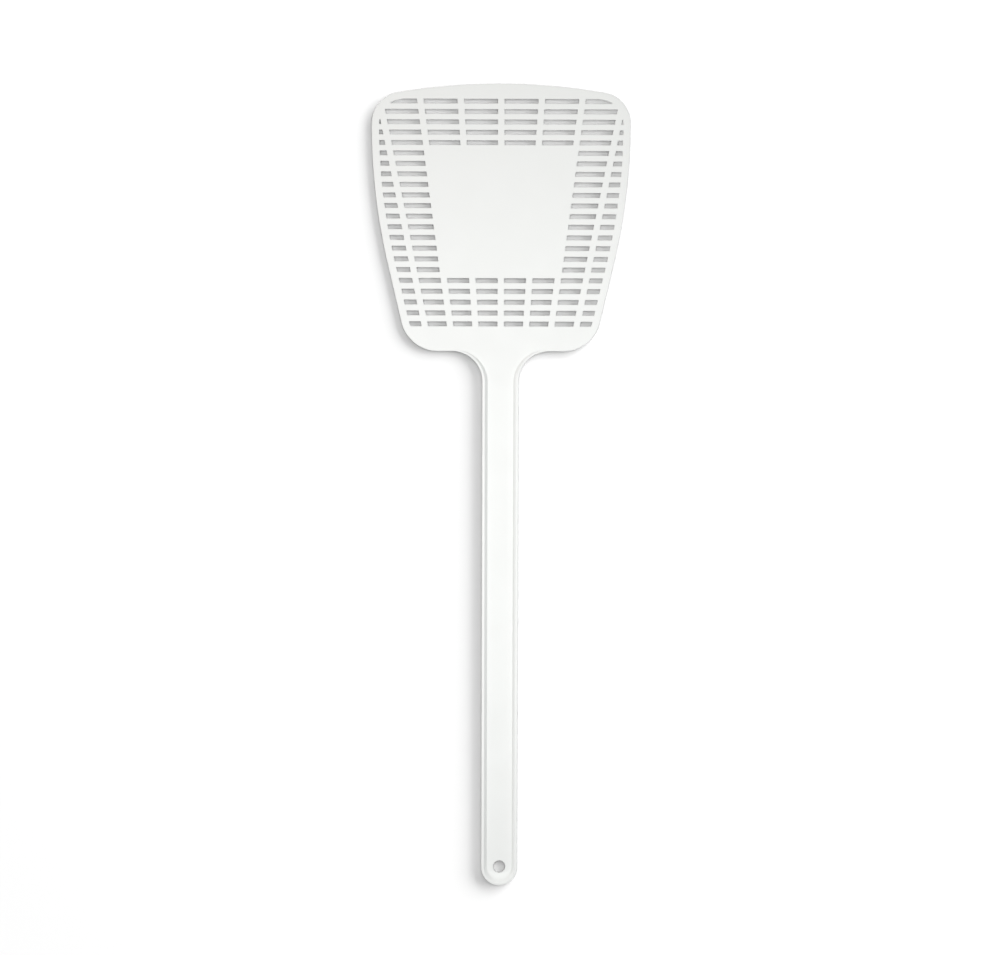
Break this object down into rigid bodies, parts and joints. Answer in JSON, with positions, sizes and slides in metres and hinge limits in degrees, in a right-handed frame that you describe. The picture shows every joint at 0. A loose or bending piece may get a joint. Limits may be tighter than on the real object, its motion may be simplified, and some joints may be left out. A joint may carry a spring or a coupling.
{
  "type": "fly swatter",
  "caption": "Moulded plastic fly swatter: thin slotted blade with a plain centre panel, and a long channelled handle with raised edge rails and a hanging hole in its end.",
  "frame": {"origin": "under the middle of the whole length and width, on the surface that the backs of the handle's rails lie on", "axes": "+Y from the handle to the blade, +Z out of the blade's face, +X to the right seen from the front"},
  "size_m": [0.1334, 0.4128, 0.0052],
  "materials": {
    "white_plastic": "white moulded polypropylene, satin, with a very fine moulded grain"
  },
  "bodies": {
    "root": {"blade_top_band": "white_plastic", "blade_left_border": "white_plastic", "blade_right_border": "white_plastic", "blade_bottom_band": "white_plastic", "imprint_panel": "white_plastic", "top_lattice": "white_plastic", "left_lattice": "white_plastic", "right_lattice": "white_plastic", "bottom_lattice": "white_plastic", "neck_web": "white_plastic", "neck_left_rail": "white_plastic", "neck_right_rail": "white_plastic", "handle_web": "white_plastic", "handle_left_rail": "white_plastic", "handle_right_rail": "white_plastic", "handle_end_rail": "white_plastic", "hang_tab": "white_plastic"}
  },
  "joints": []
}
